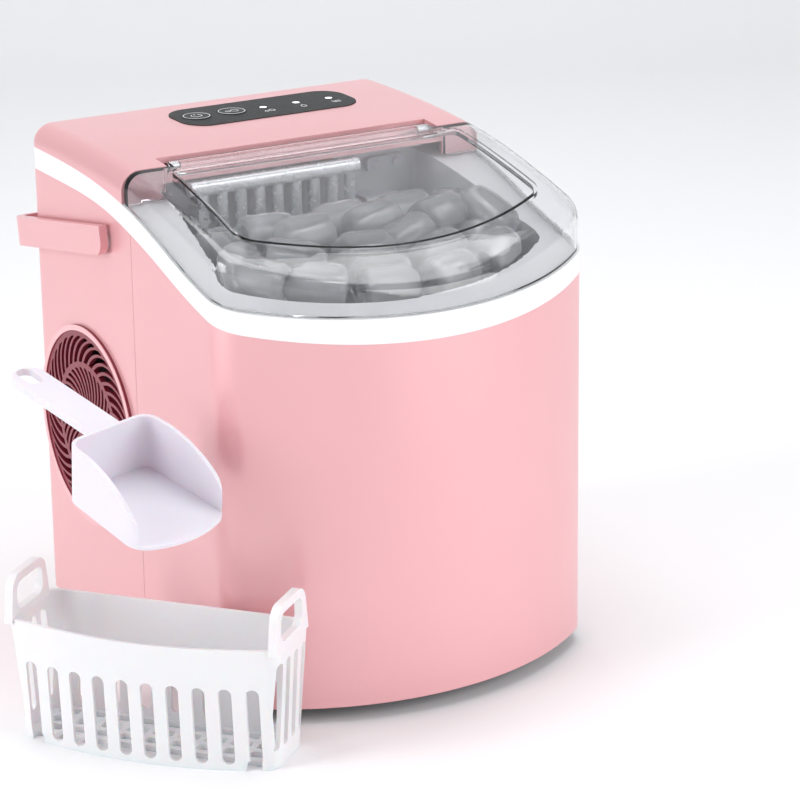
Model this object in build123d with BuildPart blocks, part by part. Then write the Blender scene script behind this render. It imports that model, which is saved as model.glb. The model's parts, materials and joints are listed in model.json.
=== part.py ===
from build123d import *
from math import cos, radians, sin
import os

os.makedirs("parts", exist_ok=True)

# A countertop bullet ice maker with its loose ice basket and scoop. +Z is up, +Y points to the rear,
# and the origin is on the table under the middle of the cabinet. All sizes are in millimetres.

# ---- cabinet ----
width = 220.0
depth = 260.0
foot_height = 8.0
shell_bottom = foot_height + 0.5
bow_radius = 164.0
bow_centre_y = bow_radius - depth / 2
front_corner = 24.0
rear_corner = 12.0
wall = 2.0
seam_y = 6.0
seam_gap = 0.15
back_panel_half = 100.0
sky = 300.0

# ---- side view of the rim, from front to rear, as (y, z) ----
rim_low = [(-131, 200.5), (-90, 210.5), (-50, 221.5), (-22, 231.5), (8, 241.0), (35, 247.5), (70, 251.3),
           (131, 253.6)]
rim_high = [(-131, 214), (-92, 221.5), (-54, 231.5), (-22, 243.2), (8, 252.8), (32, 258.0), (66, 262.3),
            (131, 265.2)]
crown = [(-131, 227), (-112, 236.8), (-90, 246.5), (-62, 255.4), (-34, 262.6), (-8, 268.2), (20, 272.0),
         (60, 275.4), (100, 277.0), (140, 277.6)]
cover_round = 11.0
lid_round = 9.0

# ---- ice bin and lid ----
shoulder = 2.4
bin_front_y = -108.0
bin_rear_y = 31.5
bin_front_half = 96.0
bin_rear_half = 77.0
bin_waist_y = -68.0
bin_floor_z = 104.0
lid_inset = 1.2
lid_wall = 2.2
lid_gap = 0.5
lid_rear_y = 13.4
cover_front_y = 14.6
hinge_y = 21.0
hinge_z = 267.8
barrel_radius = 3.7
barrel_half = 80.0
hinge_pin_radius = 2.0
running_gap = 0.05
recess_half = 83.0
recess_rear_y = 28.0
recess_floor_z = 263.4
plateau_half = 91.0
plateau_side_y = -76.0
plateau_front_y = -101.5
plateau_rise = 2.4

# ---- freezing tray ----
tray_y = 14.0
tray_z = 224.0
tray_radius = 15.5
tray_left = -69.0
tray_right = 34.0
finger_count = 9
finger_pitch = 11.2
finger_middle_x = -18.0
shovel_y = -6.0
shovel_z = 203.0

# ---- controls ----
panel_x = 15.0
panel_y = 87.5
panel_length = 109.0
panel_height = 38.5
panel_pocket = 1.6
panel_proud = 0.5
button_xs = (-26.3, -4.4)
button_y = 88.5
button_radius = 8.0
lamp_xs = (15.5, 36.5, 57.5)
cover_wall = 3.0

# ---- drain ----
drain_y = -40.0
drain_z = 33.0

# ---- vents, fan and cooling ----
vent_y = 65.5
vent_z = 120.0
vent_radius = 56.0
vent_hole = 51.0
fan_y = 83.0
fan_z = 112.0
fan_radius = 37.0
compressor_x = 52.0
compressor_y = 83.0
compressor_radius = 40.0

# ---- carrying handle ----
handle_y = 37.0
handle_z = 231.4
handle_slope = 9.2
handle_reach = 105.6
handle_height = 16.0
handle_thick = 4.5
handle_inner_half = 111.8

# ---- loose basket and scoop ----
basket_x = -152.5
basket_y = -90.0
basket_turn = -51.0
basket_length = 148.0
basket_width = 58.0
basket_rim = 66.0
basket_wall = 2.0
scoop_origin = (-162.0, -62.0, 135.0)
scoop_length = 69.0
scoop_width = 51.0
scoop_depth = 32.0
scoop_wall = 1.8
scoop_handle = 74.0


def body_outline(z=0.0, inset=0.0):
    """Plan of the cabinet at height z: bowed front, straight sides and tight rear corners."""
    with BuildSketch(Plane.XY.offset(z)) as outline:
        with Locations((0, bow_centre_y)):
            Circle(bow_radius - inset)
        Rectangle(width - 2 * inset, depth - 2 * inset, mode=Mode.INTERSECT)
        fillet(outline.vertices().group_by(Axis.Y)[0], front_corner - inset)
        fillet(outline.vertices().group_by(Axis.Y)[-1], max(rear_corner - inset, 1.0))
    return outline.sketch


def under(points, rise=0.0):
    """Side view of everything below a curve that runs from the front to the rear."""
    with BuildSketch(Plane.YZ) as region:
        with BuildLine():
            top = Spline(*[(y, z + rise) for y, z in points])
            Polyline(top @ 1, (points[-1][0], 0), (points[0][0], 0), top @ 0)
        make_face()
    return region.sketch


def crown_rim(part, cut_y):
    """The edges where the crown meets the upright walls, leaving out the straight cut at cut_y."""
    crowns = [face for face in part.faces() if face.normal_at().Z > 0.5]
    edges = [edge for face in crowns for edge in face.edges()]
    once = [edge for edge in edges if sum(edge.is_same(other) for other in edges) == 1]
    return [edge for edge in once if abs(edge.center().Y - cut_y) > 0.5]


def bin_outline(z=0.0, grow=0.0):
    """Plan of the ice bin's mouth, wide behind the bowed front and narrower at the back wall."""
    with BuildSketch(Plane.XY.offset(z)) as mouth:
        with BuildLine():
            right = Line((bin_rear_half, bin_rear_y), (bin_front_half, bin_waist_y))
            bow = ThreePointArc(right @ 1, (0, bin_front_y), (-bin_front_half, bin_waist_y))
            Polyline(bow @ 1, (-bin_rear_half, bin_rear_y), right @ 0)
        make_face()
        fillet(mouth.vertices().group_by(Axis.Y)[0], 16)
        fillet(mouth.vertices().group_by(Axis.Y)[-1], 5)
        if grow:
            offset(amount=grow)
    return mouth.sketch


def plateau_outline(z=0.0, grow=0.0):
    """Plan of the raised window in the lid."""
    with BuildSketch(Plane.XY.offset(z)) as window:
        with BuildLine():
            right = Line((plateau_half - 3, 3), (plateau_half, plateau_side_y))
            bow = ThreePointArc(right @ 1, (0, plateau_front_y), (-plateau_half, plateau_side_y))
            Polyline(bow @ 1, (3 - plateau_half, 3), right @ 0)
        make_face()
        fillet(window.vertices().group_by(Axis.Y)[0], 13)
        fillet(window.vertices().group_by(Axis.Y)[-1], 6)
        if grow:
            offset(amount=grow)
    return window.sketch


def wall_ring(z, outer_inset, inner_inset):
    """Plan of a wall that follows the cabinet's outline."""
    with BuildSketch(Plane.XY.offset(z)) as ring:
        add(body_outline(z, outer_inset))
        add(body_outline(z, inner_inset), mode=Mode.SUBTRACT)
    return ring.sketch


def save(part, name):
    """Label a finished piece and write it."""
    part.label = name
    export_step(part, f"parts/{name}.step")


def keep_box(low, high, mode=Mode.INTERSECT):
    """A box given by two corners, for cutting or keeping."""
    with Locations([tuple((a + b) / 2 for a, b in zip(low, high))]):
        Box(high[0] - low[0], high[1] - low[1], high[2] - low[2], mode=mode)


def rod(start, end, radius, mode=Mode.ADD):
    """A round bar between two points."""
    start = Vector(start)
    run = Vector(end) - start
    with BuildSketch(Plane(origin=start, z_dir=run)) as section:
        Circle(radius)
    extrude(section.sketch, amount=run.length, mode=mode)


# ================= casing =================

with BuildPart() as front_shell:
    extrude(wall_ring(shell_bottom, 0, wall), amount=sky)
    extrude(under(rim_low), amount=width, both=True, mode=Mode.INTERSECT)
    keep_box((-width, -depth, 0), (width, seam_y - seam_gap, sky))
    rod((width / 2 - 4, drain_y, drain_z), (width / 2 + 2, drain_y, drain_z), 6.6, mode=Mode.SUBTRACT)
save(front_shell.part, "front_shell")

for side, name in ((-1, "left_side_panel"), (1, "right_side_panel")):
    with BuildPart() as side_panel:
        extrude(wall_ring(shell_bottom, 0, wall), amount=sky)
        extrude(under(rim_low), amount=width, both=True, mode=Mode.INTERSECT)
        keep_box((min(side * width, side * back_panel_half), seam_y + seam_gap, 0),
                 (max(side * width, side * back_panel_half), depth, sky))
        rod((side * (width / 2 - 5), vent_y, vent_z), (side * (width / 2 + 5), vent_y, vent_z), vent_hole,
            mode=Mode.SUBTRACT)
        rod((side * (width / 2 - 5), handle_y, handle_z), (side * (width / 2 + 5), handle_y, handle_z), 4.0,
            mode=Mode.SUBTRACT)
    save(side_panel.part, name)

with BuildPart() as back_panel:
    extrude(wall_ring(shell_bottom, 0, wall), amount=sky)
    extrude(under(rim_low), amount=width, both=True, mode=Mode.INTERSECT)
    keep_box((0.2 - back_panel_half, 0, 0), (back_panel_half - 0.2, depth, sky))
    keep_box((-width, 0, 0), (width, depth / 2 - wall - 1, sky), mode=Mode.SUBTRACT)
    rod((-70, depth / 2 - 5, 40), (-70, depth / 2 + 5, 40), 7.0, mode=Mode.SUBTRACT)
save(back_panel.part, "back_panel")

with BuildPart() as rim_band:
    extrude(wall_ring(150, 0, 4.0), amount=150)
    extrude(under(rim_high), amount=width, both=True, mode=Mode.INTERSECT)
    extrude(under(rim_low), amount=width, both=True, mode=Mode.SUBTRACT)
save(rim_band.part, "rim_band")

with BuildPart() as base_tray:
    extrude(body_outline(shell_bottom + 0.5, wall + 0.4), amount=14)
    extrude(body_outline(shell_bottom + 3.5, wall + 3.0), amount=14, mode=Mode.SUBTRACT)
save(base_tray.part, "base_tray")

foot_spots = [(-74, -84), (74, -84), (-92, 110), (92, 110)]
with BuildPart() as feet:
    with BuildSketch(Plane.XY):
        with Locations(foot_spots):
            Circle(9)
    extrude(amount=shell_bottom + 0.5)
    chamfer(feet.edges().group_by(Axis.Z)[0], 1.2)
save(feet.part, "feet")

screw_spots = [(x, z) for x in (-90, 90) for z in (20, 100, 180, 240)]
with BuildPart() as back_screws:
    for x, z in screw_spots:
        rod((x, depth / 2, z), (x, depth / 2 + 1.6, z), 3.6)
        with BuildSketch(Plane(origin=(x, depth / 2 + 1.6, z), z_dir=(0, 1, 0))) as cross:
            Rectangle(4.4, 1.0)
            Rectangle(1.0, 4.4)
        extrude(cross.sketch, amount=-0.9, mode=Mode.SUBTRACT)
save(back_screws.part, "back_screws")

with BuildPart() as cord_gland:
    rod((-70, depth / 2 - 6, 40), (-70, depth / 2, 40), 6.9)
    rod((-70, depth / 2, 40), (-70, depth / 2 + 5, 40), 9.5)
    rod((-70, depth / 2 - 7, 40), (-70, depth / 2 + 6, 40), 3.6, mode=Mode.SUBTRACT)
    chamfer(cord_gland.edges().group_by(Axis.Y)[-1], 0.8)
save(cord_gland.part, "cord_gland")

# ================= top cover and controls =================

with BuildPart() as cover_form:
    extrude(body_outline(200, 0), amount=120)
    extrude(under(crown), amount=width, both=True, mode=Mode.INTERSECT)
    keep_box((-width, cover_front_y, 0), (width, depth, sky))
    fillet(crown_rim(cover_form.part, cover_front_y), cover_round)
    extrude(under(rim_high), amount=width, both=True, mode=Mode.SUBTRACT)

with BuildPart() as cover_hollow:
    extrude(body_outline(200, cover_wall), amount=120)
    extrude(under(crown, -cover_wall), amount=width, both=True, mode=Mode.INTERSECT)
    keep_box((-width, cover_front_y + cover_wall, 0), (width, depth, sky))
    fillet(crown_rim(cover_hollow.part, cover_front_y + cover_wall), cover_round - cover_wall)

with BuildPart() as recess_liner:
    keep_box((-recess_half - 3, cover_front_y, recess_floor_z - 2),
             (recess_half + 3, recess_rear_y + 2.5, sky),
             mode=Mode.ADD)
    add(cover_form.part, mode=Mode.INTERSECT)

with BuildPart() as panel_pocket_form:
    with BuildSketch(Plane.XY.offset(260)):
        with Locations((panel_x, panel_y)):
            RectangleRounded(panel_length + 0.3, panel_height + 0.3, 14.1)
    extrude(amount=60)
    extrude(under(crown, -panel_pocket), amount=width, both=True, mode=Mode.SUBTRACT)

with BuildPart() as top_cover:
    add(cover_form.part)
    add(cover_hollow.part, mode=Mode.SUBTRACT)
    add(recess_liner.part)
    keep_box((-recess_half, cover_front_y - 1, recess_floor_z), (recess_half, recess_rear_y, sky),
             mode=Mode.SUBTRACT)
    keep_box((-recess_half - 3, cover_front_y - 1, 200),
             (recess_half + 3, recess_rear_y + 2.5, recess_floor_z - 2),
             mode=Mode.SUBTRACT)
    for side in (-1, 1):
        rod((side * recess_half, hinge_y, hinge_z), (side * (recess_half + 3), hinge_y, hinge_z),
            hinge_pin_radius,
            mode=Mode.SUBTRACT)
    for post_x in (-1, 1):
        for post_y in (-1, 1):
            rod((panel_x + 48 * post_x, panel_y - 2 + 15 * post_y, 264.6),
                (panel_x + 48 * post_x, panel_y - 2 + 15 * post_y, 274.4), 3.0)
    add(panel_pocket_form.part, mode=Mode.SUBTRACT)
    for x in button_xs:
        rod((x, button_y, 266), (x, button_y, 280), 3.0, mode=Mode.SUBTRACT)
    for x in lamp_xs:
        rod((x, button_y, 266), (x, button_y, 280), 2.1, mode=Mode.SUBTRACT)
save(top_cover.part, "top_cover")

with BuildPart() as control_panel:
    with BuildSketch(Plane.XY.offset(265)):
        with Locations((panel_x, panel_y)):
            RectangleRounded(panel_length, panel_height, 14)
        for x in button_xs:
            with Locations((x, button_y)):
                Circle(button_radius + 0.3, mode=Mode.SUBTRACT)
        for x in lamp_xs:
            with Locations((x, button_y)):
                Circle(2.1, mode=Mode.SUBTRACT)
    extrude(amount=30)
    extrude(under(crown, panel_proud), amount=width, both=True, mode=Mode.INTERSECT)
    extrude(under(crown, -panel_pocket), amount=width, both=True, mode=Mode.SUBTRACT)
save(control_panel.part, "control_panel")

button_top = 276.5 + panel_proud + 0.5
for x, name in zip(button_xs, ("button_power", "button_select")):
    with BuildPart() as button:
        rod((x, button_y, button_top - 1.2), (x, button_y, button_top), button_radius)
        fillet(button.edges().group_by(Axis.Z)[-1], 0.5)
        rod((x, button_y, 267.0), (x, button_y, button_top - 0.9), 2.5)
    save(button.part, name)

with BuildPart() as indicator_lights:
    for x in lamp_xs:
        rod((x, button_y, 264.6), (x, button_y, 277.1), 2.05)
save(indicator_lights.part, "indicator_lights")

with BuildPart() as control_board:
    keep_box((panel_x - 56, panel_y - 22, 263.0), (panel_x + 56, panel_y + 18, 264.6), mode=Mode.ADD)
    for x in button_xs:
        keep_box((x - 3, button_y - 3, 264.6), (x + 3, button_y + 3, 266.2), mode=Mode.ADD)
    keep_box((56, 78, 258.5), (68, 98, 263.0), mode=Mode.ADD)
save(control_board.part, "control_board")

# ================= lid =================


def lid_window(drop, grow):
    """The raised window as a block that stands a little above the crown."""
    with BuildPart() as window:
        extrude(plateau_outline(190, grow), amount=120)
        extrude(under(crown, plateau_rise - drop), amount=width, both=True, mode=Mode.INTERSECT)
    return window.part


def lid_span(ear_rear_y, middle_half):
    """How far back the lid reaches: to the ears at the sides, and to the hinge in the middle."""
    with BuildPart() as span:
        keep_box((-width, -depth, 150), (width, ear_rear_y, sky), mode=Mode.ADD)
        keep_box((-middle_half, -depth, 150), (middle_half, hinge_y, sky), mode=Mode.ADD)
    return span.part


def lid_form(inset, drop, ear_rear_y, middle_half, grow):
    """One closed form of the lid: rim outline, sloping crown with a round edge, and raised window."""
    with BuildPart() as form:
        extrude(body_outline(190, inset), amount=120)
        extrude(under(crown, -drop), amount=width, both=True, mode=Mode.INTERSECT)
        keep_box((-width, -depth, 0), (width, hinge_y, sky))
        fillet(crown_rim(form.part, hinge_y), lid_round - drop)
        add(lid_window(drop, grow))
        add(lid_span(ear_rear_y, middle_half), mode=Mode.INTERSECT)
    return form.part


with BuildPart() as lid:
    add(lid_form(lid_inset, 0.0, lid_rear_y, barrel_half - 0.5, 0.0))
    add(lid_form(lid_inset + lid_wall, lid_wall, lid_rear_y - lid_wall, recess_half + 3, -lid_wall),
        mode=Mode.SUBTRACT)
    extrude(under(rim_high, lid_gap), amount=width, both=True, mode=Mode.SUBTRACT)
    rod((-barrel_half, hinge_y, hinge_z), (barrel_half, hinge_y, hinge_z), barrel_radius)
    for side in (-1, 1):
        rod((side * (barrel_half - 7), hinge_y, hinge_z), (side * (barrel_half + 1), hinge_y, hinge_z),
            hinge_pin_radius + running_gap, mode=Mode.SUBTRACT)
save(lid.part, "lid")

with BuildPart() as lid_hinge_pins:
    for side in (-1, 1):
        rod((side * (barrel_half - 6.5), hinge_y, hinge_z), (side * (recess_half + 3), hinge_y, hinge_z),
            hinge_pin_radius)
save(lid_hinge_pins.part, "lid_hinge_pins")

# ================= ice bin and freezing works =================

with BuildPart() as bin_shoulder:
    extrude(body_outline(150, 4.1), amount=150)
    extrude(under(rim_high, -1.5), amount=width, both=True, mode=Mode.INTERSECT)
    extrude(under(rim_high, -1.5 - shoulder), amount=width, both=True, mode=Mode.SUBTRACT)
    keep_box((-width, -depth, 0), (width, bin_rear_y + shoulder, sky))

with BuildPart() as bin_tub:
    extrude(bin_outline(bin_floor_z, shoulder), amount=sky - bin_floor_z)
    extrude(under(rim_high, -1.5), amount=width, both=True, mode=Mode.INTERSECT)

with BuildPart() as ice_bin:
    add(bin_shoulder.part)
    add(bin_tub.part)
    keep_box((-recess_half, bin_rear_y, 200), (recess_half, bin_rear_y + shoulder, recess_floor_z - 2.2),
             mode=Mode.ADD)
    extrude(bin_outline(bin_floor_z + shoulder), amount=sky, mode=Mode.SUBTRACT)
    rod((-62, bin_rear_y - 1, 240), (-62, bin_rear_y + 5, 240), 3.1, mode=Mode.SUBTRACT)
    for pipe_x in (8, 22):
        rod((pipe_x, bin_rear_y - 1, 256), (pipe_x, bin_rear_y + 5, 256), 2.6, mode=Mode.SUBTRACT)
    rod((66, drain_y, bin_floor_z - 1), (66, drain_y, bin_floor_z + 4), 4.0, mode=Mode.SUBTRACT)
    rod((-60, -30, bin_floor_z - 1), (-60, -30, bin_floor_z + 4), 3.0, mode=Mode.SUBTRACT)
save(ice_bin.part, "ice_bin")

with BuildPart() as bin_insulation:
    extrude(bin_outline(bin_floor_z + 3, shoulder + 6), amount=92)
    extrude(body_outline(0, wall + 1.0), amount=sky, mode=Mode.INTERSECT)
    extrude(bin_outline(bin_floor_z, shoulder + 0.1), amount=sky, mode=Mode.SUBTRACT)
save(bin_insulation.part, "bin_insulation")

with BuildPart() as evaporator:
    keep_box((-71, 10, 252), (31, 18, 260), mode=Mode.ADD)
    fillet(evaporator.edges().filter_by(Axis.X), 2.5)
    for index in range(finger_count):
        x = finger_middle_x + (index - (finger_count - 1) / 2) * finger_pitch
        rod((x, tray_y, 213.5), (x, tray_y, 253), 3.2)
    fillet(evaporator.edges().group_by(Axis.Z)[0], 1.5)
save(evaporator.part, "evaporator")

with BuildPart() as water_tray:
    rod((tray_left, tray_y, tray_z), (tray_right, tray_y, tray_z), tray_radius)
    rod((tray_left + 1.6, tray_y, tray_z), (tray_right - 1.6, tray_y, tray_z), tray_radius - 1.6,
        mode=Mode.SUBTRACT)
    keep_box((-width, -depth, 0), (width, depth, tray_z))
    for end_x, step in ((tray_left, -1), (tray_right, 1)):
        rod((end_x - 1.6 * step, tray_y, tray_z - 4.5), (end_x, tray_y, tray_z - 4.5), 4.4)
        rod((end_x, tray_y, tray_z), (end_x + 3.6 * step, tray_y, tray_z), 2.5)
        rod((end_x - 1.6 * step, tray_y, tray_z), (end_x, tray_y, tray_z), 4.4)
save(water_tray.part, "water_tray")

bracket_spots = (tray_left - 3.9, tray_right + 0.6)
with BuildPart() as tray_brackets:
    for low_x in bracket_spots:
        keep_box((low_x, shovel_y - 5, shovel_z - 6), (low_x + 3.3, bin_rear_y, tray_z + 7), mode=Mode.ADD)
    rod((-width, tray_y, tray_z), (width, tray_y, tray_z), 2.5 + running_gap, mode=Mode.SUBTRACT)
    rod((-width, shovel_y, shovel_z), (width, shovel_y, shovel_z), 2.0 + running_gap, mode=Mode.SUBTRACT)
save(tray_brackets.part, "tray_brackets")

with BuildPart() as ice_shovel:
    rod((tray_left - 3.2, shovel_y, shovel_z), (tray_right + 3.2, shovel_y, shovel_z), 2.0)
    keep_box((tray_left, shovel_y - 1, shovel_z - 26), (tray_right, shovel_y + 1, shovel_z - 1),
             mode=Mode.ADD)
    for index in range(finger_count - 1):
        x = finger_middle_x + (index - (finger_count - 2) / 2) * finger_pitch
        keep_box((x - 2, shovel_y - 2, shovel_z - 27), (x + 2, shovel_y + 2, shovel_z - 15),
                 mode=Mode.SUBTRACT)
save(ice_shovel.part, "ice_shovel")

with BuildPart() as tray_motor:
    keep_box((tray_right + 4.2, 15, tray_z - 16), (tray_right + 26, bin_rear_y, tray_z + 12), mode=Mode.ADD)
    fillet(tray_motor.edges().filter_by(Axis.X), 3)
    rod((tray_right + 26, 22, tray_z), (tray_right + 30, 22, tray_z), 6)
save(tray_motor.part, "tray_motor")

with BuildPart() as ice_level_sensor:
    keep_box((46, bin_rear_y - 4, 247), (70, bin_rear_y, 255), mode=Mode.ADD)
    fillet(ice_level_sensor.edges().filter_by(Axis.Y), 2)
    for x in (52, 64):
        rod((x, bin_rear_y - 6, 251), (x, bin_rear_y - 4, 251), 2.2)
save(ice_level_sensor.part, "ice_level_sensor")

with BuildPart() as water_pump:
    rod((-60, -30, 30), (-60, -30, 62), 17)
    rod((-60, -30, 62), (-60, -30, 72), 11)
    keep_box((-80, -50, shell_bottom + 3.5), (-40, -10, 30), mode=Mode.ADD)
    rod((-60, -15, 46), (-60, -6, 46), 4)
save(water_pump.part, "water_pump")

with BuildPart() as water_hoses:
    with BuildLine() as feed_route:
        FilletPolyline((-60, -6, 46), (-60, 24, 46), (-62, 47, 64), (-62, 47, 240), (-62, 24, 240),
                       radius=7)
    with BuildSketch(Plane(origin=(-60, -6, 46), z_dir=(0, 1, 0))):
        Circle(3.0)
    sweep(path=feed_route.wires()[0])
    rod((-60, -30, 72), (-60, -30, bin_floor_z + shoulder), 2.95)
save(water_hoses.part, "water_hoses")

with BuildPart() as drain_hose:
    with BuildLine() as drain_route:
        FilletPolyline((66, drain_y, bin_floor_z + shoulder), (66, drain_y, drain_z),
                       (102, drain_y, drain_z), radius=14)
    with BuildSketch(Plane(origin=(66, drain_y, bin_floor_z + shoulder), z_dir=(0, 0, -1))):
        Circle(3.95)
    sweep(path=drain_route.wires()[0])
save(drain_hose.part, "drain_hose")

with BuildPart() as drain_plug:
    rod((102.5, drain_y, drain_z), (width / 2 + 0.4, drain_y, drain_z), 6.1)
    rod((width / 2 + 0.4, drain_y, drain_z), (width / 2 + 6, drain_y, drain_z), 10)
    keep_box((width / 2 + 5, drain_y - 8, drain_z - 1.2), (width / 2 + 7.5, drain_y + 8, drain_z + 1.2),
             mode=Mode.ADD)
save(drain_plug.part, "drain_plug")

# ================= cooling works =================

base_top = shell_bottom + 3.5
with BuildPart() as compressor_mounts:
    with BuildSketch(Plane.XY.offset(base_top)):
        with Locations((compressor_x, compressor_y)):
            with GridLocations(66, 66, 2, 2):
                Circle(7)
    extrude(amount=8)
save(compressor_mounts.part, "compressor_mounts")

with BuildPart() as compressor:
    with BuildSketch(Plane.XY.offset(base_top + 8)):
        with Locations((compressor_x, compressor_y)):
            RectangleRounded(80, 80, 12)
    extrude(amount=3)
    rod((compressor_x, compressor_y, base_top + 11), (compressor_x, compressor_y, 148), compressor_radius)
    fillet(compressor.edges().group_by(Axis.Z)[-1], 16)
    keep_box((compressor_x - 14, compressor_y - 12, 148), (compressor_x + 14, compressor_y + 12, 160),
             mode=Mode.ADD)
save(compressor.part, "compressor")

with BuildPart() as condenser:
    keep_box((-56, 48, 66), (-24, 122, 70), mode=Mode.ADD)
    keep_box((-56, 48, 154), (-24, 122, 158), mode=Mode.ADD)
    for index in range(15):
        fin_y = 50 + index * 5
        keep_box((-55, fin_y, 68), (-25, fin_y + 0.8, 156), mode=Mode.ADD)
    for index in range(6):
        rod((-40, 48, 76 + index * 14), (-40, 122, 76 + index * 14), 3)
    for pillar_x in (-50, -30):
        rod((pillar_x, 60, base_top), (pillar_x, 60, 67), 4)
        rod((pillar_x, 110, base_top), (pillar_x, 110, 67), 4)
save(condenser.part, "condenser")

with BuildPart() as fan_frame:
    keep_box((-103, fan_y - 41, fan_z - 41), (-79, fan_y + 41, fan_z + 41), mode=Mode.ADD)
    fillet(fan_frame.edges().filter_by(Axis.X), 8)
    rod((-110, fan_y, fan_z), (-81, fan_y, fan_z), fan_radius + 1.5, mode=Mode.SUBTRACT)
    rod((-110, fan_y, fan_z), (-70, fan_y, fan_z), fan_radius - 1, mode=Mode.SUBTRACT)
    keep_box((-81, fan_y - 2.5, fan_z - 39), (-79, fan_y + 2.5, fan_z + 39), mode=Mode.ADD)
    keep_box((-81, fan_y - 39, fan_z - 2.5), (-79, fan_y + 39, fan_z + 2.5), mode=Mode.ADD)
    keep_box((-100, fan_y - 30, base_top), (-82, fan_y + 30, fan_z - 40), mode=Mode.ADD)
save(fan_frame.part, "fan_frame")

with BuildPart() as fan_motor:
    rod((-88, fan_y, fan_z), (-81, fan_y, fan_z), 13)
    rod((-98, fan_y, fan_z), (-88, fan_y, fan_z), 2)
save(fan_motor.part, "fan_motor")

with BuildPart() as fan_rotor:
    for index in range(7):
        angle = index * 360 / 7
        blade_middle = (-95, fan_y + 25 * cos(radians(angle)), fan_z + 25 * sin(radians(angle)))
        with Locations(Location(blade_middle, (angle, 0, 0)) * Location((0, 0, 0), (0, 38, 0))):
            Box(1.4, 22, 15)
    rod((-width, fan_y, fan_z), (width, fan_y, fan_z), fan_radius, mode=Mode.INTERSECT)
    rod((-101, fan_y, fan_z), (-89, fan_y, fan_z), 15)
    rod((-99, fan_y, fan_z), (-88, fan_y, fan_z), 2 + running_gap, mode=Mode.SUBTRACT)
save(fan_rotor.part, "fan_rotor")

with BuildPart() as hot_gas_valve:
    keep_box((0, 62, 190), (22, 84, 214), mode=Mode.ADD)
    rod((11, 73, 176), (11, 73, 232), 5)
save(hot_gas_valve.part, "hot_gas_valve")


def pipe(points, radius, bend):
    """A bent tube along straight runs joined by arcs."""
    with BuildPart() as tube:
        with BuildLine() as route:
            FilletPolyline(*points, radius=bend)
        start = Vector(points[0])
        with BuildSketch(Plane(origin=start, z_dir=Vector(points[1]) - start)):
            Circle(radius)
        sweep(path=route.wires()[0])
    return tube.part


with BuildPart() as refrigerant_pipes:
    add(pipe([(22, 18, 256), (22, 46, 256), (22, 46, 180), (52, 60, 180), (52, 83, 180), (52, 83, 160)],
             2.5, 7))
    add(pipe([(8, 18, 256), (8, 56, 256), (11, 73, 250), (11, 73, 232)], 2.5, 5))
    add(pipe([(11, 73, 176), (11, 73, 168), (-10, 85, 168), (-40, 85, 168), (-40, 85, 158)], 2.5, 4))
save(refrigerant_pipes.part, "refrigerant_pipes")

with BuildPart() as filter_drier:
    rod((-6, 106, 90), (-6, 106, 140), 8)
    rod((-6, 106, 80), (-6, 106, 150), 3)
    keep_box((-10, 114, 100), (-2, depth / 2 - wall, 104), mode=Mode.ADD)
    keep_box((-10, 106, 100), (-2, 115, 104), mode=Mode.ADD)
save(filter_drier.part, "filter_drier")

with BuildPart() as power_board:
    keep_box((-66, 121, 172), (14, 122.6, 232), mode=Mode.ADD)
    keep_box((-58, 104, 180), (-34, 121, 204), mode=Mode.ADD)
    rod((-14, 121, 190), (-14, 103, 190), 8)
    keep_box((-26, 108, 210), (6, 121, 226), mode=Mode.ADD)
    for standoff_x in (-62, 10):
        for standoff_z in (176, 228):
            rod((standoff_x, 122.6, standoff_z), (standoff_x, depth / 2 - wall, standoff_z), 2.5)
save(power_board.part, "power_board")

# ================= vents =================


def vent_slot(inner, outer, swirl, opening):
    """One curved slot between two circles: it leaves the inner one straight and leans over by the swirl."""
    middle = (inner + outer) / 2
    with BuildSketch() as slot:
        with BuildLine():
            sides = []
            for turn in (-opening / 2, opening / 2):
                corners = [Vector(radius, 0).rotate(Axis.Z, turn + share * swirl)
                           for radius, share in ((inner, 0), (middle, 0.36), (outer, 1))]
                sides.append(ThreePointArc(*corners))
            Line(sides[0] @ 0, sides[1] @ 0)
            Line(sides[0] @ 1, sides[1] @ 1)
        make_face()
        fillet(slot.vertices(), 0.45)
    return slot.sketch


for side, name in ((-1, "left_vent"), (1, "right_vent")):
    face = Plane(origin=(side * width / 2, vent_y, vent_z), x_dir=(0, -side, 0), z_dir=(side, 0, 0))
    with BuildPart() as vent:
        with BuildSketch(face):
            Circle(vent_hole - 0.1)
        extrude(amount=-wall)
        with BuildSketch(face):
            Circle(vent_radius)
        extrude(amount=1.2)
        with BuildSketch(face.offset(1.2)):
            Circle(vent_radius)
            Circle(vent_radius - 3, mode=Mode.SUBTRACT)
        extrude(amount=0.8)
        with BuildSketch(face.offset(-wall - 1)):
            with PolarLocations(0, 36):
                add(vent_slot(35.5, 50.0, -24, 6.4))
                add(vent_slot(14.0, 32.5, 22, 5.6))
        extrude(amount=6, mode=Mode.SUBTRACT)
    save(vent.part, name)

# ================= carrying handle =================

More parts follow.
